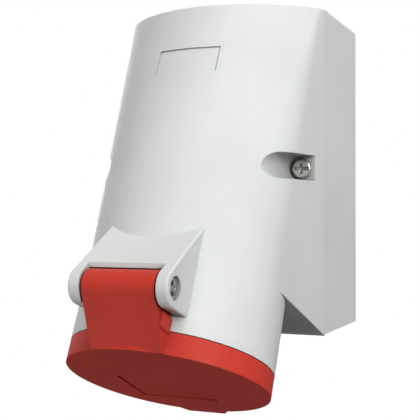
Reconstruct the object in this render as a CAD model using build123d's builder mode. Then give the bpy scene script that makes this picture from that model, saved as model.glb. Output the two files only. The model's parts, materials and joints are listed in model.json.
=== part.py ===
from build123d import *
import os
from math import acos, atan2, cos, degrees, hypot, radians, sin, tan

os.makedirs("parts", exist_ok=True)

# Box on the wall: Y = 0 is the wall, Z = 0 is half way up the box
box_width = 95.0
box_height = 145.9
base_depth = 59.3
base_wall = 3.6
back_wall = 3.2
box_edge_round = 1.8

# Barrel that leans out below the box
lean = radians(25.9)
mouth_reach = 123.03
mouth_drop = 14.65
barrel_radius = 42.1
barrel_wall = 2.4
foot_drop = 0.72

# Hood between the barrel and the top of the box
hood_wall = 3.0
crown_rise = 24.15
crown_over = 0.5
shoulder_length = 2.8
shoulder_inset = 1.0
shoulder_round = 3.7
shoulder_split = 50.0
panel_depth = 0.5
panel_left = -17.2
panel_right = 12.0
panel_low = 41.1
panel_high = 52.6

# Hood screws in side pockets
screw_inset = 7.2
screw_height = 0.9
pocket_radius = 5.55
pocket_rise = 10.7
pocket_skin = 2.2
hood_screw_head = 4.15
hood_screw_head_height = 2.0
hood_screw_radius = 2.1
hood_screw_length = 30.0
screw_clearance = 0.2
screw_end_gap = 1.0
screw_boss_radius = 5.0

# Seal between the base and the hood
seal_inset = 1.1
seal_width = 1.6
seal_depth = 2.0

# Wall screws and cable entries
wall_hole_radius = 2.75
wall_hole_inset_x = 14.5
wall_hole_inset_z = 16.95
wall_boss_radius = 6.5
wall_boss_height = 3.0
entry_out = 30.0
entry_radius = 16.25
entry_boss_radius = 19.5
entry_boss_depth = 4.0
cable_radius = 8.5
entry_lip = 1.6
entry_lip_chamfer = 0.8
plug_skin = 2.0

# Hinge bracket on the front of the barrel
hinge_forward = 51.1
hinge_height = 21.1
ear_radius = 7.2
bracket_width = 40.8
ear_thickness = 4.5
bracket_root = 35.0
bracket_top = 45.5
bracket_foot = 15.4
bracket_round = 0.8
slot_radius = 7.0
slot_angle = radians(73.0)
slot_foot = 16.8
slot_foot_rise = 1.5
slot_reach = 30.0
slot_height = 20.0
ear_recess_radius = 4.5
ear_recess_depth = 1.9
pin_radius = 2.5
pin_clearance = 0.05
pin_head_across_flats = 5.0
pin_head_height = 1.4
pin_socket_across_flats = 2.4
pin_tail = 0.6
pin_chamfer = 0.4
clip_radius = 4.1
clip_thickness = 0.8

# Lid and its arm
lid_radius = 42.0
lid_height = 8.7
lid_gap = 0.3
lid_plate = 3.0
lid_rim = 2.4
tab_reach = 45.0
tab_tip = 17.0
tab_root = 23.4
tab_overlap = 2.0
tab_thickness = 3.2
label_depth = 0.5
label_left = -21.2
label_right = 13.5
label_front = 5.0
label_rear = 23.0
arm_width = 30.0
knuckle_radius = 6.5
arm_face_start = 40.4
arm_skin = 2.4
arm_cheek = 2.2
arm_swing_gap = 0.4
arm_foot_gap = 0.8
arm_head_wall = 1.0
pad_front = 48.1
pad_corner = 1.3
pad_foot = 7.3
pad_top = 13.4
pad_thickness = 0.8
pad_slope = 0.7
lid_seal_inner = 35.4
lid_seal_height = 2.9

# Closing spring in the knuckle
spring_wire = 0.6
spring_radius = 3.3
spring_turns = 3
spring_pitch = 1.5
spring_pocket_radius = 4.4
spring_pocket_depth = 8.0
spring_leg = 1.5
spring_clearance = 0.1
spring_end_gap = 0.3

# Collar that takes the plug
collar_clearance = 0.2
collar_bore = 36.5
collar_land = 6.0
collar_relief = 0.8
collar_lip_radius = 38.7
collar_lip_height = 3.3
collar_lip_drop = 2.8
groove_floor = 50.0
shelf = 3.0
collar_top = 57.0
hook_angle = 40.0
hook_width = 10.0
hook_height = 3.0
hook_reach = 1.6
hook_slit = 1.2
hook_arm = 9.0
key_width = 9.0
key_depth = 1.5
thread_skin = 0.4

# Contact carrier, contacts and terminals
carrier_radius = 30.8
carrier_face = 13.0
carrier_clearance = 0.2
pin_fit = 0.05
chamber_gap = 0.1
entry_gap = 0.8
contact_ring_radius = 18.0
contact_count = 5
live_pin_radius = 3.0
earth_pin_radius = 4.0
contact_wall = 1.55
entry_chamfer = 0.8
entry_depth = 11.0
contact_mouth_gap = 0.2
contact_slit = 0.8
contact_slit_length = 17.0
contact_bore_depth = 28.0
ring_gap = 1.0
ring_height = 2.0
ring_depth = 0.45
terminal_step = 1.0
terminal_wall = 0.9
terminal_length = 20.0
wire_hole_radius = 2.6
wire_hole_depth = 14.0
terminal_screw_radius = 2.0
terminal_screw_length = 5.5
terminal_screw_rise = 13.0
terminal_screw_proud = 1.0
terminal_driver_slot = 0.8
terminal_carrier_radius = 30.0
terminal_carrier_height = 25.0
carrier_screw_ring_radius = 33.6
carrier_screw_radius = 1.3
carrier_screw_head = 2.2
carrier_screw_head_height = 1.6
carrier_screw_length = 8.4
carrier_driver_slot = 0.6
carrier_core_radius = 8.0
carrier_screw_count = 3
driver_slot = 1.0

# Values that follow from the sizes above
half_width = box_width / 2
half_height = box_height / 2
screw_spacing = box_width - 2 * screw_inset
pocket_floor = base_depth + pocket_rise
wall_hole_spacing_x = box_width - 2 * wall_hole_inset_x
wall_hole_spacing_z = box_height - 2 * wall_hole_inset_z
hood_reach = mouth_reach - base_depth
hood_foot = hood_reach * sin(lean) + mouth_drop * cos(lean) - foot_drop
crown_height = hood_reach * sin(lean) + (box_height + mouth_drop) * cos(lean) + crown_over
barrel_bore = barrel_radius - barrel_wall
barrel_end = lid_height + lid_gap
collar_radius = barrel_bore - collar_clearance
collar_lip = barrel_end - collar_lip_drop
collar_room = collar_bore + collar_relief
slot_half = bracket_width / 2 - ear_thickness
ear_face = bracket_width / 2 - ear_recess_depth
carrier_seat = groove_floor + shelf
terminal_seat = carrier_seat + shelf
chamber_start = carrier_face + entry_depth
terminal_start = terminal_seat + terminal_step
terminal_screw_height = terminal_start + terminal_screw_rise

seal_inner_x = box_width - 2 * (seal_inset + seal_width)
seal_inner_z = box_height - 2 * (seal_inset + seal_width)

barrel_frame = Plane(
    origin=(0, -mouth_reach, -half_height - mouth_drop),
    x_dir=(1, 0, 0),
    z_dir=(0, sin(lean), cos(lean)),
)
side_frame = Plane(
    origin=barrel_frame.origin,
    x_dir=(0, -cos(lean), sin(lean)),
    z_dir=(-1, 0, 0),
)
hinge = (hinge_forward, hinge_height)


def barrel_plane(height):
    """Plane across the barrel, this far above the lid face; its Y runs to the rear."""
    return barrel_frame.offset(height)


def side_plane(offset):
    """Plane along the barrel, square to X at this X, facing the left side."""
    return side_frame.offset(-offset)


def front_plane(depth):
    """Upright plane this far out from the wall, facing the room."""
    return Plane.XZ.offset(depth)


def rear_line(height):
    """Where the parting plane cuts the plane across the barrel at this height."""
    return (hood_reach - height * sin(lean)) / cos(lean)


def touch_point(start, centre, radius, turn):
    """Point where the line from start touches a circle; turn +1 or -1 picks the side."""
    away_x = start[0] - centre[0]
    away_y = start[1] - centre[1]
    angle = atan2(away_y, away_x) + turn * acos(radius / hypot(away_x, away_y))
    return (centre[0] + radius * cos(angle), centre[1] + radius * sin(angle))


def along(start, end, first):
    """Point on the line through start and end that has this first coordinate."""
    share = (first - start[0]) / (end[0] - start[0])
    return (first, start[1] + share * (end[1] - start[1]))


def contact_place(number):
    """Centre of a contact, counted from the earth contact at the rear."""
    angle = radians(90 + number * 360 / contact_count)
    return (contact_ring_radius * cos(angle), contact_ring_radius * sin(angle))


def pin_size(number):
    """Radius of the plug pin that a contact takes."""
    return earth_pin_radius if number == 0 else live_pin_radius


def tube_size(number):
    """Outer radius of the tube that grips a plug pin."""
    return pin_size(number) + pin_fit + contact_wall


def screw_plane(number):
    """Plane through a terminal with its normal pointing away from the barrel axis."""
    across, back = contact_place(number)
    outward = barrel_frame.x_dir * across + barrel_frame.y_dir * back
    origin = barrel_frame.from_local_coords((across, back, terminal_screw_height))
    return Plane(origin=origin, x_dir=barrel_frame.z_dir, z_dir=outward)


def carrier_screw_places():
    """Places of the screws that hold both carriers to the shelf in the collar."""
    return PolarLocations(carrier_screw_ring_radius, carrier_screw_count, start_angle=-90)


def lower_section(inset):
    """Outline of the hood where the barrel runs into it."""
    height = hood_foot + inset
    radius = barrel_radius - inset
    side = half_width - inset
    rear = rear_line(height)
    touch = touch_point((side, rear), (0, 0), radius, -1)
    end_angle = degrees(atan2(touch[1], touch[0]))
    split_angle = shoulder_split - 90
    front_arc = CenterArc((0, 0), radius, -90 - shoulder_split, 2 * shoulder_split)
    right_arc = CenterArc((0, 0), radius, split_angle, end_angle - split_angle)
    left_arc = CenterArc((0, 0), radius, 180 - end_angle, end_angle - split_angle)
    back = Polyline(touch, (side, rear), (-side, rear), (-touch[0], touch[1]))
    return barrel_plane(height) * Face(Wire([front_arc, right_arc, *back.edges(), left_arc]))


def upper_section(inset):
    """Outline of the hood square to the barrel axis at the top of the box."""
    side = half_width - inset
    rear = rear_line(crown_height)
    crown = rear - crown_rise + inset
    shoulder = (side - shoulder_inset, rear - shoulder_length)
    left_shoulder = (-shoulder[0], shoulder[1])
    with BuildSketch(barrel_plane(crown_height)) as section:
        with BuildLine():
            ThreePointArc(left_shoulder, (0, crown), shoulder)
            Polyline(shoulder, (side, rear), (-side, rear), left_shoulder)
        make_face()
        fillet(section.vertices().group_by(Axis.Y)[0], radius=shoulder_round)
    return section.sketch


skin_sections = [lower_section(0), upper_section(0)]
panel_sections = [lower_section(panel_depth), upper_section(panel_depth)]
room_sections = [lower_section(hood_wall), upper_section(hood_wall)]

# Hood skin set in by the depth of the panel, to bottom the panel
with BuildPart() as panel_bed:
    loft(panel_sections, ruled=True)

# Room inside the hood, less the walls and bosses that stand in it
with BuildPart() as hood_room:
    loft(room_sections, ruled=True)
    split(bisect_by=Plane.XY.offset(half_height - hood_wall), keep=Keep.BOTTOM)
    split(bisect_by=Plane.XY.offset(hood_wall - half_height), keep=Keep.TOP)
    with BuildSketch(barrel_plane(barrel_end)):
        Circle(barrel_bore)
    extrude(amount=collar_top - barrel_end)
    for side in (-1, 1):
        with BuildSketch(front_plane(pocket_floor - shelf)):
            with Locations((side * screw_spacing / 2, screw_height)):
                Circle(pocket_radius + pocket_skin)
                with Locations((side * pocket_radius * 2, 0)):
                    Rectangle(pocket_radius * 4, 2 * (pocket_radius + pocket_skin))
        extrude(amount=mouth_reach - pocket_floor, mode=Mode.SUBTRACT)
        with BuildSketch(front_plane(base_depth)):
            with Locations((side * screw_spacing / 2, screw_height)):
                Circle(screw_boss_radius)
        extrude(amount=pocket_floor - base_depth, mode=Mode.SUBTRACT)

with BuildPart() as hood:
    bracket_start = (barrel_radius, bracket_top)
    bracket_touch = touch_point(bracket_start, hinge, ear_radius, -1)
    foot_start = (bracket_root, bracket_foot)
    foot_touch = touch_point(foot_start, hinge, ear_radius, 1)
    with BuildSketch(side_frame):
        with BuildLine():
            Polyline(
                along(bracket_start, bracket_touch, bracket_root),
                bracket_touch,
                foot_touch,
                foot_start,
                close=True,
            )
        make_face()
        with Locations(hinge):
            Circle(ear_radius)
    extrude(amount=bracket_width / 2, both=True)
    ear_faces = hood.faces().filter_by(Axis.X)
    fillet(ear_faces.edges(), radius=bracket_round)
    with BuildSketch(side_frame):
        with Locations(hinge):
            Circle(slot_radius)
        with BuildLine():
            Polyline(
                hinge,
                (hinge_forward + slot_height / tan(slot_angle), hinge_height + slot_height),
                (hinge_forward + slot_reach, hinge_height + slot_height),
                (hinge_forward + slot_reach, 0),
                (bracket_root - hood_wall, 0),
                (bracket_root - hood_wall, slot_foot),
                (hinge_forward - slot_radius, slot_foot + slot_foot_rise),
                (hinge_forward - slot_radius, hinge_height),
                close=True,
            )
        make_face()
    extrude(amount=slot_half, both=True, mode=Mode.SUBTRACT)
    loft(skin_sections, ruled=True)
    split(bisect_by=Plane.XY.offset(half_height), keep=Keep.BOTTOM)
    with BuildSketch(barrel_plane(barrel_end)):
        Circle(barrel_radius)
    extrude(amount=hood_foot - barrel_end)
    add(hood_room.part, mode=Mode.SUBTRACT)
    for side in (-1, 1):
        with BuildSketch(front_plane(pocket_floor)):
            with Locations((side * screw_spacing / 2, screw_height)):
                Circle(pocket_radius)
                with Locations((side * pocket_radius * 2, 0)):
                    Rectangle(pocket_radius * 4, 2 * pocket_radius)
        extrude(amount=mouth_reach - pocket_floor, mode=Mode.SUBTRACT)
        with BuildSketch(front_plane(base_depth)):
            with Locations((side * screw_spacing / 2, screw_height)):
                Circle(hood_screw_radius + screw_clearance)
        extrude(amount=pocket_floor - base_depth, mode=Mode.SUBTRACT)
        with BuildSketch(side_plane(side * ear_face)):
            with Locations(hinge):
                Circle(ear_recess_radius)
        extrude(amount=-side * bracket_width, mode=Mode.SUBTRACT)
    with BuildSketch(side_frame):
        with Locations(hinge):
            Circle(pin_radius)
    extrude(amount=bracket_width / 2, both=True, mode=Mode.SUBTRACT)
    with BuildSketch(side_plane(slot_half)):
        with Locations((hinge_forward, hinge_height + spring_radius)):
            Circle(spring_wire + spring_clearance)
    extrude(amount=-spring_leg - spring_clearance, mode=Mode.SUBTRACT)

# Shallow panel on the front of the hood
with BuildPart() as panel_cut:
    with BuildSketch(front_plane(base_depth)):
        with Locations(((panel_left + panel_right) / 2, (panel_low + panel_high) / 2)):
            Rectangle(panel_right - panel_left, panel_high - panel_low)
    extrude(amount=mouth_reach - base_depth)
    add(panel_bed.part, mode=Mode.SUBTRACT)
with hood:
    add(panel_cut.part, mode=Mode.SUBTRACT)

# Base with double rim for the seal, wall screws and cable entries
with BuildPart() as base:
    with BuildSketch(front_plane(0)):
        Rectangle(box_width, box_height)
    extrude(amount=base_depth)
    fillet(base.edges().group_by(Axis.Y)[-1], radius=box_edge_round)
    with BuildSketch(front_plane(back_wall)):
        Rectangle(box_width - 2 * base_wall, box_height - 2 * base_wall)
    extrude(amount=base_depth - back_wall, mode=Mode.SUBTRACT)
    with BuildSketch(front_plane(back_wall)):
        with GridLocations(wall_hole_spacing_x, wall_hole_spacing_z, 2, 2):
            Circle(wall_boss_radius)
    extrude(amount=wall_boss_height)
    for side in (-1, 1):
        with BuildSketch(front_plane(back_wall)):
            with Locations((side * screw_spacing / 2, screw_height)):
                Circle(screw_boss_radius)
                with Locations((side * screw_boss_radius / 2, 0)):
                    Rectangle(screw_boss_radius, 2 * screw_boss_radius)
        extrude(amount=base_depth - back_wall)
        with BuildSketch(Plane.XY.offset(side * half_height)):
            with Locations((0, -entry_out)):
                Circle(entry_boss_radius)
        extrude(amount=-side * (base_wall + entry_boss_depth))
    with BuildSketch(front_plane(0)):
        with GridLocations(wall_hole_spacing_x, wall_hole_spacing_z, 2, 2):
            Circle(wall_hole_radius)
    extrude(amount=back_wall + wall_boss_height, mode=Mode.SUBTRACT)
    for side in (-1, 1):
        with BuildSketch(front_plane(base_depth)):
            with Locations((side * screw_spacing / 2, screw_height)):
                Circle(hood_screw_radius)
        extrude(amount=-hood_screw_length, mode=Mode.SUBTRACT)
        with BuildSketch(Plane.XY.offset(side * half_height)):
            with Locations((0, -entry_out)):
                Circle(entry_radius)
        extrude(amount=-side * (base_wall + entry_boss_depth), mode=Mode.SUBTRACT)
    with BuildSketch(front_plane(base_depth)):
        Rectangle(box_width - 2 * seal_inset, box_height - 2 * seal_inset)
        Rectangle(seal_inner_x, seal_inner_z, mode=Mode.SUBTRACT)
    extrude(amount=-seal_depth, mode=Mode.SUBTRACT)

with BuildPart() as hood_gasket:
    with BuildSketch(front_plane(base_depth)):
        Rectangle(box_width - 2 * seal_inset, box_height - 2 * seal_inset)
        Rectangle(seal_inner_x, seal_inner_z, mode=Mode.SUBTRACT)
    extrude(amount=-seal_depth)


# Fittings in the two cable entries
with BuildPart() as cable_grommet:
    with BuildSketch(Plane.XY.offset(half_height)):
        with Locations((0, -entry_out)):
            Circle(entry_radius)
    extrude(amount=-base_wall - entry_boss_depth)
    with BuildSketch(Plane.XY.offset(half_height - base_wall - entry_boss_depth)):
        with Locations((0, -entry_out)):
            Circle(entry_radius + entry_lip)
    extrude(amount=-entry_lip)
    with BuildSketch(Plane.XY.offset(half_height)):
        with Locations((0, -entry_out)):
            Circle(cable_radius)
    extrude(amount=-base_wall - entry_boss_depth - entry_lip, mode=Mode.SUBTRACT)
    chamfer(cable_grommet.edges().filter_by(GeomType.CIRCLE).sort_by(SortBy.RADIUS)[:2], length=entry_lip_chamfer)

with BuildPart() as blanking_plug:
    with BuildSketch(Plane.XY.offset(-half_height)):
        with Locations((0, -entry_out)):
            Circle(entry_radius)
    extrude(amount=base_wall + entry_boss_depth)
    with BuildSketch(Plane.XY.offset(base_wall + entry_boss_depth - half_height)):
        with Locations((0, -entry_out)):
            Circle(entry_radius + entry_lip)
    extrude(amount=entry_lip)
    with BuildSketch(Plane.XY.offset(plug_skin - half_height)):
        with Locations((0, -entry_out)):
            Circle(entry_radius - plug_skin)
    extrude(amount=base_wall + entry_boss_depth + entry_lip - plug_skin, mode=Mode.SUBTRACT)


def screw(place, head_radius, head_height, shank_radius, length, cross):
    """Pan head screw whose head sits on this plane; cross adds the second driver slot."""
    with BuildPart() as fastener:
        with BuildSketch(place):
            Circle(head_radius)
        extrude(amount=head_height)
        top = fastener.edges().filter_by(GeomType.CIRCLE)
        fillet(top.sort_by(lambda edge: place.to_local_coords(edge.center()).Z)[-1], radius=head_height * 0.3)
        with BuildSketch(place):
            Circle(shank_radius)
        extrude(amount=-length)
        with BuildSketch(place.offset(head_height)):
            Rectangle(head_radius * 3, driver_slot)
            if cross:
                Rectangle(driver_slot, head_radius * 1.3)
        extrude(amount=-head_height * 0.5, mode=Mode.SUBTRACT)
    return fastener.part


hood_screws = []
for side in (-1, 1):
    spot = Plane(
        origin=(side * screw_spacing / 2, -pocket_floor, screw_height),
        x_dir=(1, 0, 0),
        z_dir=(0, -1, 0),
    )
    length = pocket_rise + hood_screw_length - screw_end_gap
    head = (hood_screw_head, hood_screw_head_height)
    hood_screws.append(screw(spot, *head, hood_screw_radius, length, True))
hood_screw_left, hood_screw_right = hood_screws

# Pad on the arm's right cheek, below the ear, with a sloping foot
with BuildPart() as arm_pad:
    with BuildSketch(side_plane(arm_width / 2)):
        with BuildLine():
            Polyline(
                (bracket_root, pad_foot),
                (pad_front - pad_corner, pad_foot),
                (pad_front, pad_foot + pad_corner),
                (pad_front, pad_top),
                (bracket_root, pad_top),
                close=True,
            )
        make_face()
    extrude(amount=-pad_thickness)
    outline = arm_pad.edges().group_by(Axis.X)[-1]
    foot = outline.sort_by(lambda edge: barrel_frame.to_local_coords(edge.center()).Z)[0]
    chamfer(foot, length=pad_slope)

# Lid with its arm, knuckle and finger tab
arm_touch = touch_point((arm_face_start, 0), hinge, knuckle_radius, 1)
with BuildPart() as lid:
    with BuildSketch(side_frame):
        with BuildLine():
            Polyline(
                arm_touch,
                (arm_face_start, 0),
                (bracket_root, 0),
                (bracket_root, slot_foot - arm_foot_gap),
                (hinge_forward - knuckle_radius, slot_foot - arm_foot_gap),
                hinge,
                close=True,
            )
        make_face()
        with Locations(hinge):
            Circle(knuckle_radius)
    extrude(amount=arm_width / 2, both=True)
    add(arm_pad.part)
    with BuildSketch(barrel_plane(lid_height)):
        Circle(barrel_radius + arm_swing_gap)
    extrude(amount=hinge_height, mode=Mode.SUBTRACT)
    arm_tilt = atan2(arm_touch[1], arm_touch[0] - arm_face_start)
    skin_step = arm_skin / sin(arm_tilt)
    hollow_top = hinge_height - knuckle_radius - arm_head_wall
    hollow_front = arm_face_start - skin_step + hollow_top / tan(arm_tilt)
    with BuildSketch(side_frame):
        with BuildLine():
            Polyline(
                (arm_face_start - skin_step, 0),
                (hollow_front, hollow_top),
                (bracket_root - hood_wall, hollow_top),
                (bracket_root - hood_wall, 0),
                close=True,
            )
        make_face()
    extrude(amount=arm_width / 2 - arm_cheek, both=True, mode=Mode.SUBTRACT)
    with BuildSketch(barrel_frame):
        Circle(lid_radius)
        with BuildLine():
            Polyline(
                (-tab_root / 2, lid_radius - tab_overlap),
                (-tab_tip / 2, tab_reach),
                (tab_tip / 2, tab_reach),
                (tab_root / 2, lid_radius - tab_overlap),
                close=True,
            )
        make_face()
    extrude(amount=tab_thickness)
    with BuildSketch(barrel_frame):
        Circle(lid_radius)
    extrude(amount=lid_height)
    with BuildSketch(barrel_plane(lid_plate)):
        Circle(lid_radius - lid_rim)
    extrude(amount=lid_height - lid_plate, mode=Mode.SUBTRACT)
    with BuildSketch(barrel_frame):
        with Locations(((label_left + label_right) / 2, (label_rear - label_front) / 2)):
            Rectangle(label_right - label_left, label_rear + label_front)
    extrude(amount=label_depth, mode=Mode.SUBTRACT)
    with BuildSketch(side_frame):
        with Locations(hinge):
            Circle(pin_radius + pin_clearance)
    extrude(amount=arm_width / 2, both=True, mode=Mode.SUBTRACT)
    with BuildSketch(side_plane(arm_width / 2)):
        with Locations(hinge):
            Circle(spring_pocket_radius)
    extrude(amount=spring_pocket_depth, mode=Mode.SUBTRACT)
    with BuildSketch(side_plane(arm_width / 2 - spring_pocket_depth)):
        with Locations((hinge_forward, hinge_height + spring_radius)):
            Circle(spring_wire + spring_clearance)
    extrude(amount=spring_leg + spring_clearance, mode=Mode.SUBTRACT)

with BuildPart() as lid_gasket:
    with BuildSketch(barrel_plane(lid_plate)):
        Circle(lid_radius - lid_rim)
        Circle(lid_seal_inner, mode=Mode.SUBTRACT)
    extrude(amount=lid_seal_height)

# Hinge pin with its clip and the closing spring
with BuildPart() as hinge_pin:
    with BuildSketch(side_plane(ear_face)):
        with Locations(hinge):
            RegularPolygon(pin_head_across_flats / 2, 6, major_radius=False)
    extrude(amount=-pin_head_height)
    with BuildSketch(side_plane(ear_face)):
        with Locations(hinge):
            Circle(pin_radius)
    extrude(amount=2 * ear_face + clip_thickness + pin_tail)
    with BuildSketch(side_plane(ear_face + pin_head_height)):
        with Locations(hinge):
            RegularPolygon(pin_socket_across_flats / 2, 6, major_radius=False)
    extrude(amount=pin_head_height, mode=Mode.SUBTRACT)
    chamfer(hinge_pin.edges().group_by(Axis.X)[0], length=pin_chamfer)

with BuildPart() as hinge_pin_clip:
    with BuildSketch(side_plane(-ear_face)):
        with Locations(hinge):
            Circle(clip_radius)
            Circle(pin_radius, mode=Mode.SUBTRACT)
    extrude(amount=clip_thickness)

spring_start = arm_width / 2 - spring_leg - spring_wire - spring_end_gap
coil_frame = Plane(
    origin=side_plane(spring_start).from_local_coords((*hinge, 0)),
    x_dir=side_frame.y_dir,
    z_dir=side_frame.z_dir,
)
coil = coil_frame * Helix(spring_pitch, spring_turns * spring_pitch, spring_radius)
with BuildPart() as hinge_spring:
    with BuildSketch(Plane(origin=coil @ 0, z_dir=coil % 0)):
        Circle(spring_wire)
    sweep(path=coil)
    with BuildSketch(side_plane(spring_start)):
        with Locations((hinge_forward, hinge_height + spring_radius)):
            Circle(spring_wire)
    extrude(amount=spring_start - slot_half - spring_leg)
    with BuildSketch(side_plane(spring_start - spring_turns * spring_pitch)):
        with Locations((hinge_forward, hinge_height + spring_radius)):
            Circle(spring_wire)
    extrude(amount=spring_pocket_depth + spring_leg - arm_width / 2 + spring_start - spring_turns * spring_pitch)


def hook_places():
    """Places of the two snap hooks, either side of the keyway."""
    radius = collar_radius - hook_reach
    return PolarLocations(radius, 2, start_angle=90 - hook_angle, angular_range=4 * hook_angle)


# Collar that the plug is pushed into
with BuildPart() as collar:
    with BuildSketch(barrel_plane(collar_lip)):
        Circle(collar_lip_radius)
    extrude(amount=collar_lip_height)
    with BuildSketch(barrel_plane(collar_lip + collar_lip_height)):
        Circle(collar_radius)
    extrude(amount=collar_top - collar_lip - collar_lip_height)
    hook_base = hood_foot + hood_wall
    with BuildSketch(barrel_plane(hook_base)):
        with hook_places():
            Rectangle(4 * hook_reach, hook_width)
    extrude(amount=hook_height)
    with BuildSketch(barrel_plane(hook_base - hook_arm)):
        with hook_places():
            Rectangle(4 * hook_reach, hook_width + 2 * hook_slit)
            Rectangle(4 * hook_reach, hook_width, mode=Mode.SUBTRACT)
    extrude(amount=hook_arm + hook_height, mode=Mode.SUBTRACT)
    with BuildSketch(barrel_plane(hook_base + hook_height)):
        with hook_places():
            Rectangle(4 * hook_reach, hook_width + 2 * hook_slit)
    extrude(amount=hook_slit, mode=Mode.SUBTRACT)
    with BuildSketch(barrel_plane(collar_lip)):
        Circle(collar_bore)
        with Locations((0, collar_bore)):
            Rectangle(key_width, 2 * key_depth)
    extrude(amount=groove_floor - collar_lip, mode=Mode.SUBTRACT)
    with BuildSketch(barrel_plane(collar_lip + collar_land)):
        Circle(collar_room)
    extrude(amount=groove_floor - collar_lip - collar_land, mode=Mode.SUBTRACT)
    with BuildSketch(barrel_plane(groove_floor)):
        Circle(carrier_radius + carrier_clearance)
    extrude(amount=shelf, mode=Mode.SUBTRACT)
    with BuildSketch(barrel_plane(carrier_seat)):
        Circle(collar_room)
    extrude(amount=collar_top - carrier_seat, mode=Mode.SUBTRACT)
    with BuildSketch(barrel_plane(carrier_seat)):
        with carrier_screw_places():
            Circle(carrier_screw_radius)
    extrude(amount=thread_skin - shelf, mode=Mode.SUBTRACT)

# Carrier that holds the contacts inside the collar
with BuildPart() as contact_carrier:
    with BuildSketch(barrel_plane(carrier_face)):
        Circle(carrier_radius)
    extrude(amount=carrier_seat - carrier_face)
    with BuildSketch(barrel_plane(carrier_seat)):
        Circle(collar_room - carrier_clearance)
    extrude(amount=shelf)
    for number in range(contact_count):
        with BuildSketch(barrel_plane(carrier_face)):
            with Locations(contact_place(number)):
                Circle(pin_size(number) + entry_gap)
        extrude(amount=entry_depth, mode=Mode.SUBTRACT)
        with BuildSketch(barrel_plane(chamber_start)):
            with Locations(contact_place(number)):
                Circle(tube_size(number) + chamber_gap)
        extrude(amount=terminal_seat - chamber_start, mode=Mode.SUBTRACT)
    mouths = contact_carrier.faces().sort_by(lambda face: barrel_frame.to_local_coords(face.center()).Z)[0]
    chamfer(mouths.inner_wires().edges(), length=entry_chamfer)
    chamfer(mouths.outer_wire().edges(), length=entry_chamfer)
    with BuildSketch(barrel_plane(carrier_seat)):
        with carrier_screw_places():
            Circle(carrier_screw_radius + carrier_clearance)
    extrude(amount=shelf, mode=Mode.SUBTRACT)

# Carrier that clamps the terminals from behind
with BuildPart() as terminal_carrier:
    with BuildSketch(barrel_plane(terminal_seat)):
        Circle(collar_room - carrier_clearance)
    extrude(amount=shelf)
    with BuildSketch(barrel_plane(terminal_seat)):
        Circle(terminal_carrier_radius)
    extrude(amount=terminal_carrier_height)
    for number in range(contact_count):
        with BuildSketch(barrel_plane(terminal_seat)):
            with Locations(contact_place(number)):
                Circle(tube_size(number) + chamber_gap)
        extrude(amount=terminal_start - terminal_seat, mode=Mode.SUBTRACT)
        with BuildSketch(barrel_plane(terminal_start)):
            with Locations(contact_place(number)):
                Circle(tube_size(number) + terminal_wall + chamber_gap)
        extrude(amount=terminal_carrier_height, mode=Mode.SUBTRACT)
        with BuildSketch(screw_plane(number)):
            Circle(terminal_screw_radius + carrier_clearance)
        extrude(amount=terminal_carrier_radius, mode=Mode.SUBTRACT)
    with BuildSketch(barrel_plane(terminal_seat)):
        with carrier_screw_places():
            Circle(carrier_screw_radius + carrier_clearance)
    extrude(amount=shelf, mode=Mode.SUBTRACT)
    with BuildSketch(barrel_plane(terminal_seat)):
        Circle(carrier_core_radius)
    extrude(amount=terminal_carrier_height, mode=Mode.SUBTRACT)


def make_contact(number):
    """Slit tube for one plug pin with its screw terminal for the wire."""
    place = contact_place(number)
    tube = tube_size(number)
    mouth = chamber_start + contact_mouth_gap
    with BuildPart() as contact:
        with BuildSketch(barrel_plane(mouth)):
            with Locations(place):
                Circle(tube)
        extrude(amount=terminal_start - mouth)
        with BuildSketch(barrel_plane(terminal_start)):
            with Locations(place):
                Circle(tube + terminal_wall)
        extrude(amount=terminal_length)
        with BuildSketch(barrel_plane(mouth)):
            with Locations(place):
                Circle(pin_size(number) + pin_fit)
        extrude(amount=contact_bore_depth, mode=Mode.SUBTRACT)
        with BuildSketch(barrel_plane(mouth)):
            with Locations(place):
                Rectangle(contact_slit, 3 * tube)
                Rectangle(3 * tube, contact_slit)
        extrude(amount=contact_slit_length, mode=Mode.SUBTRACT)
        with BuildSketch(barrel_plane(mouth + ring_height)):
            with Locations(place):
                Circle(tube)
                Circle(tube - ring_depth, mode=Mode.SUBTRACT)
        extrude(amount=ring_height, mode=Mode.SUBTRACT)
        with BuildSketch(barrel_plane(terminal_start + terminal_length)):
            with Locations(place):
                Circle(wire_hole_radius)
        extrude(amount=-wire_hole_depth, mode=Mode.SUBTRACT)
        with BuildSketch(screw_plane(number)):
            Circle(terminal_screw_radius)
        extrude(amount=2 * tube, mode=Mode.SUBTRACT)
    return contact.part


contact_earth, contact_l1, contact_l2, contact_l3, contact_neutral = [
    make_contact(number) for number in range(contact_count)
]

with BuildPart() as sleeve_springs:
    for number in range(contact_count):
        tube = tube_size(number)
        with BuildSketch(barrel_plane(chamber_start + contact_mouth_gap + ring_height)):
            with Locations(contact_place(number)):
                Circle(tube)
                Circle(tube - ring_depth, mode=Mode.SUBTRACT)
                with Locations((tube, 0)):
                    Rectangle(tube, ring_gap, mode=Mode.SUBTRACT)
        extrude(amount=ring_height)

with BuildPart() as terminal_screws:
    for number in range(contact_count):
        reach = tube_size(number) + terminal_wall
        with BuildSketch(screw_plane(number).offset(reach + terminal_screw_proud - terminal_screw_length)):
            Circle(terminal_screw_radius)
        extrude(amount=terminal_screw_length)
        with BuildSketch(screw_plane(number).offset(reach + terminal_screw_proud)):
            Rectangle(terminal_driver_slot, 3 * terminal_screw_radius)
        extrude(amount=-driver_slot, mode=Mode.SUBTRACT)

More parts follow.
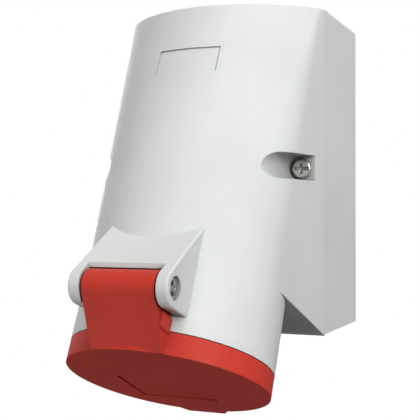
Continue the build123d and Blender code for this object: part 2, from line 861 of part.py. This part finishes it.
with BuildPart() as carrier_screws:
    with BuildSketch(barrel_plane(terminal_seat + shelf)):
        with carrier_screw_places():
            Circle(carrier_screw_head)
    extrude(amount=carrier_screw_head_height)
    with BuildSketch(barrel_plane(terminal_seat + shelf)):
        with carrier_screw_places():
            Circle(carrier_screw_radius)
    extrude(amount=-carrier_screw_length)
    with BuildSketch(barrel_plane(terminal_seat + shelf + carrier_screw_head_height)):
        with carrier_screw_places():
            Rectangle(3 * carrier_screw_head, carrier_driver_slot)
    extrude(amount=-carrier_screw_head_height / 2, mode=Mode.SUBTRACT)

nodes = {
    "base": base.part,
    "hood": hood.part,
    "hood_gasket": hood_gasket.part,
    "hood_screw_left": hood_screw_left,
    "hood_screw_right": hood_screw_right,
    "cable_grommet": cable_grommet.part,
    "blanking_plug": blanking_plug.part,
    "collar": collar.part,
    "contact_carrier": contact_carrier.part,
    "terminal_carrier": terminal_carrier.part,
    "contact_earth": contact_earth,
    "contact_l1": contact_l1,
    "contact_l2": contact_l2,
    "contact_l3": contact_l3,
    "contact_neutral": contact_neutral,
    "sleeve_springs": sleeve_springs.part,
    "terminal_screws": terminal_screws.part,
    "carrier_screws": carrier_screws.part,
    "lid": lid.part,
    "lid_gasket": lid_gasket.part,
    "hinge_pin": hinge_pin.part,
    "hinge_pin_clip": hinge_pin_clip.part,
    "hinge_spring": hinge_spring.part,
}
for name, piece in nodes.items():
    piece.label = name
    export_step(piece, f"parts/{name}.step")
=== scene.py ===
import json
from math import cos, pi, radians, sin

import bmesh
import bpy
from mathutils import Matrix, Vector


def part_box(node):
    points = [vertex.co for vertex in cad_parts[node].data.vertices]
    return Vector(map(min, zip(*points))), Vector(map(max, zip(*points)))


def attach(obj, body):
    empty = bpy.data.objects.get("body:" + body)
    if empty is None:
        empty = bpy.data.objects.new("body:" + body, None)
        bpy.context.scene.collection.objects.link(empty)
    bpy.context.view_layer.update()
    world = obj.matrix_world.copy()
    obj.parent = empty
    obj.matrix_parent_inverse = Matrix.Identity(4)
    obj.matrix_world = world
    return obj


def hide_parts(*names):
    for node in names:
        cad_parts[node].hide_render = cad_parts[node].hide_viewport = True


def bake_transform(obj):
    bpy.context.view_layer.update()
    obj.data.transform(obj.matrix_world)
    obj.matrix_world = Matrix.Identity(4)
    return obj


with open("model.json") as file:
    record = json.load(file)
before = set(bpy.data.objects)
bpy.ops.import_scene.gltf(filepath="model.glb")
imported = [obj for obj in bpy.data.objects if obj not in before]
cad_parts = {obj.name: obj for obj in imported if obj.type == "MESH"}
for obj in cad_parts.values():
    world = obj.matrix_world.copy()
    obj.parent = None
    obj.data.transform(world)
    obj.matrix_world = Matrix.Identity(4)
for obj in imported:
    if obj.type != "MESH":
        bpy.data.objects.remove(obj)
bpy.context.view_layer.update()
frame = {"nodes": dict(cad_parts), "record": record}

# Lengths are in metres, and colours are linear red, green and blue

# Noises: features to the metre, and layers of detail
clouds = (28, 5)
smears = (60, 6)
wear_patches = (300, 4)
streaks = (900, 6)
moulded_grain = (2600, 3)
noise_roughness = 0.55
tone_stops = (0.35, 0.65)

# How far a bevelled normal agrees with the face's own on flat faces and on edges
flat_agreement = 0.99
edge_agreement = 0.8
edge_samples = 6

# Share of open air at which a recess is fully dark with painted shade, and samples that find it
fully_shaded_air = 0.05
air_samples = 8


def material(name):
    """New node material with its principled shader."""
    made = bpy.data.materials.new(name)
    made.use_nodes = True
    tree = made.node_tree
    return made, tree.nodes, tree.links, tree.nodes["Principled BSDF"]


def added(nodes, kind, numbers):
    """New node with these numbers in its inputs."""
    made = nodes.new(kind)
    for name, number in numbers.items():
        made.inputs[name].default_value = number
    return made


def fed(links, socket, value):
    """Give an input a number, a colour or the output of another node."""
    if isinstance(value, bpy.types.NodeSocket):
        links.new(value, socket)
    elif isinstance(value, tuple):
        socket.default_value = (*value, 1)
    else:
        socket.default_value = value


def calculated(nodes, links, operation, first, second):
    """Result of a calculation on two values."""
    made = nodes.new("ShaderNodeMath")
    made.operation = operation
    fed(links, made.inputs[0], first)
    fed(links, made.inputs[1], second)
    return made.outputs["Value"]


def mapped(nodes, links, value, source, target=(0, 1), smooth=False):
    """Value mapped from one range to another."""
    limits = dict(zip(("From Min", "From Max", "To Min", "To Max"), (*source, *target)))
    made = added(nodes, "ShaderNodeMapRange", limits)
    made.interpolation_type = "SMOOTHSTEP" if smooth else "LINEAR"
    links.new(value, made.inputs["Value"])
    return made.outputs["Result"]


def noise(nodes, links, coords, scale, detail):
    """Noise in object space, with this many features to the metre."""
    numbers = {"Scale": scale, "Detail": detail, "Roughness": noise_roughness}
    made = added(nodes, "ShaderNodeTexNoise", numbers)
    links.new(coords, made.inputs["Vector"])
    return made.outputs["Fac"]


def two_tone(nodes, links, factor, low, high):
    """Colour that goes over from one to the other round the middle of a factor's range."""
    made = nodes.new("ShaderNodeValToRGB")
    for stop, place, colour in zip(made.color_ramp.elements, tone_stops, (low, high)):
        stop.position = place
        stop.color = (*colour, 1)
    links.new(factor, made.inputs["Fac"])
    return made.outputs["Color"]


def tinted(nodes, links, factor, first, second):
    """Mix of two colours by a factor."""
    mix = nodes.new("ShaderNodeMix")
    mix.data_type = "RGBA"
    links.new(factor, mix.inputs["Factor"])
    fed(links, mix.inputs["A"], first)
    fed(links, mix.inputs["B"], second)
    return mix.outputs["Result"]


def bevelled(nodes, width):
    """Normal with edges rounded by this width."""
    made = added(nodes, "ShaderNodeBevel", {"Radius": width})
    made.samples = edge_samples
    return made.outputs["Normal"]


def edge_mask(nodes, links, normal):
    """Factor that is 1 where a bevelled normal leaves the face's own, and 0 on flat faces."""
    agree = nodes.new("ShaderNodeVectorMath")
    agree.operation = "DOT_PRODUCT"
    links.new(normal, agree.inputs[0])
    links.new(nodes.new("ShaderNodeNewGeometry").outputs["Normal"], agree.inputs[1])
    return mapped(nodes, links, agree.outputs["Value"], (flat_agreement, edge_agreement))


def painted_shade_mask(nodes, links, reach, clean):
    """Mask of painted shade: falls from 1, where this share of the air is open, to 0 in narrow
    gaps.
    """
    air = added(nodes, "ShaderNodeAmbientOcclusion", {"Distance": reach})
    air.samples = air_samples
    return mapped(nodes, links, air.outputs["AO"], (fully_shaded_air, clean))


def bumped(nodes, links, height, normal, strength, distance):
    """Normal bent by a fine relief."""
    made = added(nodes, "ShaderNodeBump", {"Strength": strength, "Distance": distance})
    links.new(height, made.inputs["Height"])
    links.new(normal, made.inputs["Normal"])
    return made.outputs["Normal"]


def shaded(colour, factor):
    """Colour with its values times a factor."""
    return tuple(value * factor for value in colour)


# Plastics: how dark the painted shade in recesses is, the share of open air where it ends,
# smears and relief, and how worn edges pale
plastic_painted_shade = 0.22
plastic_unshaded_air = 0.8
plastic_smear = 0.06
plastic_relief = 0.00006
worn_gain = 1.12
worn_lift = 0.008
worn_limit = 0.85

# Metals: the same painted shade in recesses and its reach, with the darkest streak
# and the change of roughness in the streaks
metal_painted_shade = 0.1
metal_unshaded_air = 0.95
metal_shade_reach = 0.0015
metal_edge = 0.0002
metal_streak = 0.82
metal_smoother = 0.08
metal_rougher = 0.1
metal_relief = 0.00003
metal_relief_strength = 0.15


def plastic(name, colour, rough, grain, specular=0.5, tint=0.04, edge=0.0004, shade_reach=0.007):
    """Moulded plastic: fine grain, faint clouding, paler worn edges, painted shade in recesses."""
    made, nodes, links, shader = material(name)
    coords = nodes.new("ShaderNodeTexCoord").outputs["Object"]
    cloudy = noise(nodes, links, coords, *clouds)
    darker = shaded(colour, 1 - tint)
    lighter = shaded(colour, 1 + tint * 0.5)
    surface = two_tone(nodes, links, cloudy, darker, lighter)
    normal = bevelled(nodes, edge)
    patchy = noise(nodes, links, coords, *wear_patches)
    worn = calculated(nodes, links, "MULTIPLY", edge_mask(nodes, links, normal), patchy)
    paler = tuple(min(worn_limit, value * worn_gain + worn_lift) for value in colour)
    surface = tinted(nodes, links, worn, surface, paler)
    # Painted shade: the colour darkens in recesses and narrow gaps
    painted_shade_colour = shaded(colour, plastic_painted_shade)
    surface = tinted(nodes, links, painted_shade_mask(nodes, links, shade_reach, plastic_unshaded_air), painted_shade_colour, surface)
    links.new(surface, shader.inputs["Base Color"])
    smeared = noise(nodes, links, coords, *smears)
    roughness_range = (rough - plastic_smear, rough + plastic_smear)
    roughness = mapped(nodes, links, smeared, (0, 1), roughness_range)
    links.new(roughness, shader.inputs["Roughness"])
    shader.inputs["Specular IOR Level"].default_value = specular
    relief = noise(nodes, links, coords, *moulded_grain)
    normal = bumped(nodes, links, relief, normal, grain, plastic_relief)
    links.new(normal, shader.inputs["Normal"])
    return made


def metal(name, colour, rough):
    """Plated or drawn metal with fine streaks, and painted shade in its recesses."""
    made, nodes, links, shader = material(name)
    coords = nodes.new("ShaderNodeTexCoord").outputs["Object"]
    streaked = noise(nodes, links, coords, *streaks)
    surface = two_tone(nodes, links, streaked, shaded(colour, metal_streak), colour)
    # Painted shade: the colour darkens in the slots and other recesses of the metal
    painted_shade_colour = shaded(colour, metal_painted_shade)
    surface = tinted(nodes, links, painted_shade_mask(nodes, links, metal_shade_reach, metal_unshaded_air), painted_shade_colour, surface)
    links.new(surface, shader.inputs["Base Color"])
    shader.inputs["Metallic"].default_value = 1.0
    roughness_range = (rough - metal_smoother, rough + metal_rougher)
    roughness = mapped(nodes, links, streaked, (0, 1), roughness_range)
    links.new(roughness, shader.inputs["Roughness"])
    normal = bevelled(nodes, metal_edge)
    normal = bumped(nodes, links, streaked, normal, metal_relief_strength, metal_relief)
    links.new(normal, shader.inputs["Normal"])
    return made


# Finishes, named as the record's material slots; the pin's own is a darker steel
plastics = {
    # The hood's painted shade reaches further into its recesses
    "housing_hood": {
        "colour": (0.68, 0.70, 0.68), "rough": 0.45, "grain": 0.25, "specular": 0.15, "shade_reach": 0.013,
    },
    "housing_base": {
        "colour": (0.70, 0.72, 0.70), "rough": 0.5, "grain": 0.3, "specular": 0.15,
    },
    "lid_plastic": {
        "colour": (0.57, 0.047, 0.031), "rough": 0.42, "grain": 0.15,
        "specular": 0.08, "tint": 0.08,
    },
    "collar_plastic": {
        "colour": (0.50, 0.045, 0.032), "rough": 0.45, "grain": 0.2,
        "specular": 0.08, "tint": 0.08,
    },
    "carrier_plastic": {
        "colour": (0.03, 0.03, 0.032), "rough": 0.5, "grain": 0.3, "tint": 0.2,
    },
    "seal_rubber": {
        "colour": (0.02, 0.02, 0.02), "rough": 0.75, "grain": 0.5, "tint": 0.2, "edge": 0.0003,
    },
    "grommet_rubber": {
        "colour": (0.12, 0.12, 0.12), "rough": 0.7, "grain": 0.5, "tint": 0.15,
    },
}
metals = {
    "screw_steel": ((0.80, 0.77, 0.74), 0.3),
    "spring_steel": ((0.45, 0.45, 0.45), 0.32),
    "contact_brass": ((0.72, 0.55, 0.28), 0.28),
}
finishes = {slot: plastic(slot, **look) for slot, look in plastics.items()}
finishes |= {slot: metal(slot, *look) for slot, look in metals.items()}
zinc = finishes["screw_steel"]
pin_steel = metal("pin_steel", (0.38, 0.36, 0.35), 0.45)

for part in frame["record"]["subparts"]:
    node = frame["nodes"][part["node"]]
    node.data.materials.clear()
    node.data.materials.append(finishes[part["material_slot"]])


# Screw heads and the pin's end, finer than their solids
turned_segments = 96
turned_sharp = radians(35)


def place_at(origin, right, up, out):
    """Matrix from local x, y and z to these directions."""
    rows = [(right[index], up[index], out[index], origin[index]) for index in range(3)]
    return Matrix((*rows, (0, 0, 0, 1)))


def turned(name, node, finish, place, rings):
    """Closed piece from rings round a local z axis; a ring gives radius and height at an angle."""
    shape = bmesh.new()
    rows = []
    for ring in rings:
        row = []
        for step in range(turned_segments):
            angle = 2 * pi * step / turned_segments
            radius, height = ring(angle)
            spot = Vector((radius * cos(angle), radius * sin(angle), height))
            row.append(shape.verts.new(place @ spot))
        rows.append(row)
    for row, following in zip(rows, rows[1:]):
        for index in range(turned_segments):
            after = (index + 1) % turned_segments
            shape.faces.new((row[index], following[index], following[after], row[after]))
    for row in (rows[0], rows[-1]):
        hub = shape.verts.new(sum((vert.co for vert in row), Vector()) / turned_segments)
        for index in range(turned_segments):
            shape.faces.new((hub, row[index], row[(index + 1) % turned_segments]))
    bmesh.ops.recalc_face_normals(shape, faces=shape.faces)
    mesh = bpy.data.meshes.new(name)
    shape.to_mesh(mesh)
    shape.free()
    mesh.shade_smooth()
    mesh.set_sharp_from_angle(angle=turned_sharp)
    mesh.materials.append(finish)
    piece = bpy.data.objects.new(name, mesh)
    bpy.context.collection.objects.link(piece)
    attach(piece, "housing")
    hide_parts(node)


def steady(radius, height):
    """Ring with one radius and height all round."""
    return lambda angle: (radius, height)


def shank_rings(radius, tip, length):
    """Rings of a shank that ends in a chamfered tip at this depth."""
    return [steady(radius, tip - length), steady(radius - tip, -length)]


def ramp(value, low, high):
    """Smooth step from 0 at low to 1 at high."""
    share = min(1, max(0, (value - low) / (high - low)))
    return share * share * (3 - 2 * share)


# Hood screws, with a driver slot and a cross in a round-edged head;
# each is turned by an angle in radians, and the cross is less deep further out
screw_rise = 0.002
screw_shank = 0.0021
screw_tip = 0.0006
screw_turns = {"left": 0.7, "right": 0.0}
head_edge = 0.0006
head_edge_steps = 6
head_ring_step = 0.00009
slot_half = 0.00042
slot_depth = 0.0009
slot_draft = 0.0001
cross_half = 0.00062
cross_reach = 0.0021
cross_depth = 0.0016
cross_side_draft = 0.0002
cross_end_draft = 0.0003
cross_rise = 0.3


def driver_depth(across, along):
    """Depth of the driver slot and the cross at a place on a screw's head."""
    slot = slot_depth * ramp(abs(along), slot_half + slot_draft, slot_half)
    cross = 0
    for reach, width in ((abs(across), abs(along)), (abs(along), abs(across))):
        inside = ramp(width, cross_half, cross_half - cross_side_draft)
        inside *= ramp(reach, cross_reach, cross_reach - cross_end_draft)
        cross = max(cross, inside * (cross_depth - cross_rise * reach))
    return max(slot, cross)


def head_ring(radius, turn):
    """Ring on the top of a screw's head, which the driver slots cut into."""
    def ring(angle):
        across = radius * cos(angle + turn)
        along = radius * sin(angle + turn)
        return radius, screw_rise - driver_depth(across, along)
    return ring


for side, turn in screw_turns.items():
    node = f"hood_screw_{side}"
    low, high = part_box(node)
    head = (high[0] - low[0]) / 2
    length = high[1] - low[1] - screw_rise
    origin = ((low[0] + high[0]) / 2, low[1] + screw_rise, (low[2] + high[2]) / 2)
    flat = head - head_edge
    steps = range(1, int(flat / head_ring_step))
    rings = [head_ring(head_ring_step * step, turn) for step in steps]
    for step in range(head_edge_steps + 1):
        bend = pi / 2 * step / head_edge_steps
        height = screw_rise - head_edge + head_edge * cos(bend)
        rings.append(steady(flat + head_edge * sin(bend), height))
    rings += [steady(head, 0), steady(screw_shank, 0)]
    rings += shank_rings(screw_shank, screw_tip, length)
    place = place_at(origin, (1, 0, 0), (0, 0, 1), (0, -1, 0))
    turned(f"{node}_fine", node, zinc, place, rings)

# Hinge pin, with a dimple in its end and notches down its side
pin_rise = 0.0014
pin_shank = 0.0025
pin_tip = 0.0004
pin_head = 0.00285
dimple_radii_and_depths = ((0.0004, 0.0004), (0.0007, 0.0002), (0.0009, 0))
rim_insets_and_drops = ((0.0004, 0), (0.0001, 0.0001), (0, 0.0004))
notch_spacing = 2 * pi / 3
notch_floor = 0.0014
notch_half = radians(34)
notch_floor_half = notch_half * 0.7
notch_end = 0.004


def pin_ring(radius, height):
    """Ring of the pin where it has its notches."""
    def ring(angle):
        off = abs((angle + notch_spacing / 2) % notch_spacing - notch_spacing / 2)
        return radius - (radius - notch_floor) * ramp(off, notch_half, notch_floor_half), height
    return ring


low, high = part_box("hinge_pin")
origin = (high[0] - pin_rise, (low[1] + high[1]) / 2, (low[2] + high[2]) / 2)
length = high[0] - low[0] - pin_rise
rings = [steady(radius, pin_rise - depth) for radius, depth in dimple_radii_and_depths]
rings += [pin_ring(pin_head - inset, pin_rise - drop) for inset, drop in rim_insets_and_drops]
rings += [pin_ring(pin_head, 0), pin_ring(pin_shank, 0)]
rings += [pin_ring(pin_shank, -notch_end), steady(pin_shank, -notch_end)]
rings += shank_rings(pin_shank, pin_tip, length)
place = place_at(origin, (0, 1, 0), (0, 0, 1), (1, 0, 0))
turned("hinge_pin_fine", "hinge_pin", pin_steel, place, rings)

# Closing spring, as a copy of its solid with its placement baked in
low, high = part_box("hinge_spring")
wound = bpy.data.objects.new("hinge_spring_wound", frame["nodes"]["hinge_spring"].data.copy())
bpy.context.collection.objects.link(wound)
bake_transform(wound)
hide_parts("hinge_spring")

# Floor far under the socket, how much of its white is mirrored, and the faint sky;
# the sky's mirrored white fades out over this rise above and below the horizon
floor_level = -2
floor_half = 30
floor_tone = (0.15, 0.15, 0.15)
floor_rough = 0.9
floor_mirrored = 0.08
sky_strength = 0.02
horizon_fade = 0.25


def seen_white(nodes, links, lit, mirrored):
    """Shader that the camera sees as white, mirrors by a share, and all else as the lit one."""
    path = nodes.new("ShaderNodeLightPath")
    rays = {kind: path.outputs[f"Is {kind} Ray"] for kind in ("Camera", "Transmission", "Glossy")}
    direct = calculated(nodes, links, "MAXIMUM", rays["Camera"], rays["Transmission"])
    glossy = calculated(nodes, links, "MULTIPLY", rays["Glossy"], mirrored)
    mix = nodes.new("ShaderNodeMixShader")
    links.new(calculated(nodes, links, "MAXIMUM", direct, glossy), mix.inputs["Fac"])
    links.new(lit, mix.inputs[1])
    links.new(nodes.new("ShaderNodeEmission").outputs["Emission"], mix.inputs[2])
    return mix.outputs["Shader"]


stage_white, nodes, links, shader = material("stage")
shader.inputs["Base Color"].default_value = (*floor_tone, 1)
shader.inputs["Roughness"].default_value = floor_rough
surface = seen_white(nodes, links, shader.outputs["BSDF"], floor_mirrored)
links.new(surface, nodes["Material Output"].inputs["Surface"])

floor_mesh = bpy.data.meshes.new("floor")
corners = [
    (across * floor_half, along * floor_half, floor_level)
    for across, along in ((-1, -1), (1, -1), (1, 1), (-1, 1))
]
floor_mesh.from_pydata(corners, [], [(0, 1, 2, 3)])
floor = bpy.data.objects.new("floor", floor_mesh)
bpy.context.collection.objects.link(floor)
floor.data.materials.append(stage_white)

world = bpy.data.worlds.new("studio")
bpy.context.scene.world = world
world.use_nodes = True
nodes, links = world.node_tree.nodes, world.node_tree.links
split = nodes.new("ShaderNodeSeparateXYZ")
links.new(nodes.new("ShaderNodeTexCoord").outputs["Generated"], split.inputs["Vector"])
above = mapped(nodes, links, split.outputs["Z"], (-horizon_fade, horizon_fade), smooth=True)
sky = nodes["Background"]
sky.inputs["Color"].default_value = (1, 1, 1, 1)
sky.inputs["Strength"].default_value = sky_strength
studio = seen_white(nodes, links, sky.outputs["Background"], above)
links.new(studio, nodes["World Output"].inputs["Surface"])

# Square lamps: turn from the front to the right and rise in degrees, size, power in watts
lamp_distance = 2
lamp_aim = Vector((0, -0.08, 0))
lamps = {
    "key": (60, 14, 0.6, 27),
    "high": (60, 40, 0.6, 3.5),
    "front": (8, 25, 1.0, 4),
    "right": (105, 10, 1.0, 1.5),
    "top": (20, 75, 1.0, 21),
    "low": (-20, -25, 1.0, 6),
    "low_left": (-55, -38, 1.0, 7.5),
    "left": (-75, 10, 1.0, 4),
    "back": (-150, 15, 1.2, 26),
}
for name, (turn, rise, size, power) in lamps.items():
    lamp = bpy.data.lights.new(name, "AREA")
    lamp.energy = power
    lamp.size = size
    holder = bpy.data.objects.new(name, lamp)
    bpy.context.collection.objects.link(holder)
    turn, rise = radians(turn), radians(rise)
    away = Vector((sin(turn) * cos(rise), -cos(turn) * cos(rise), sin(rise)))
    holder.location = lamp_aim + away * lamp_distance
    holder.rotation_euler = away.to_track_quat("Z", "Y").to_euler()

# Camera at the photograph's angle, with its sensor and lens in millimetres
camera_place = (0.158324, -0.455686, -0.021794)
camera_turn_degrees = (90.639, -0.019, 22.823)
lens = bpy.data.cameras.new("camera")
lens.sensor_width = 36
lens.lens = 77.866
camera = bpy.data.objects.new("camera", lens)
bpy.context.collection.objects.link(camera)
camera.location = camera_place
camera.rotation_euler = tuple(radians(angle) for angle in camera_turn_degrees)
bpy.context.scene.camera = camera
bpy.context.scene.view_settings.view_transform = "Standard"
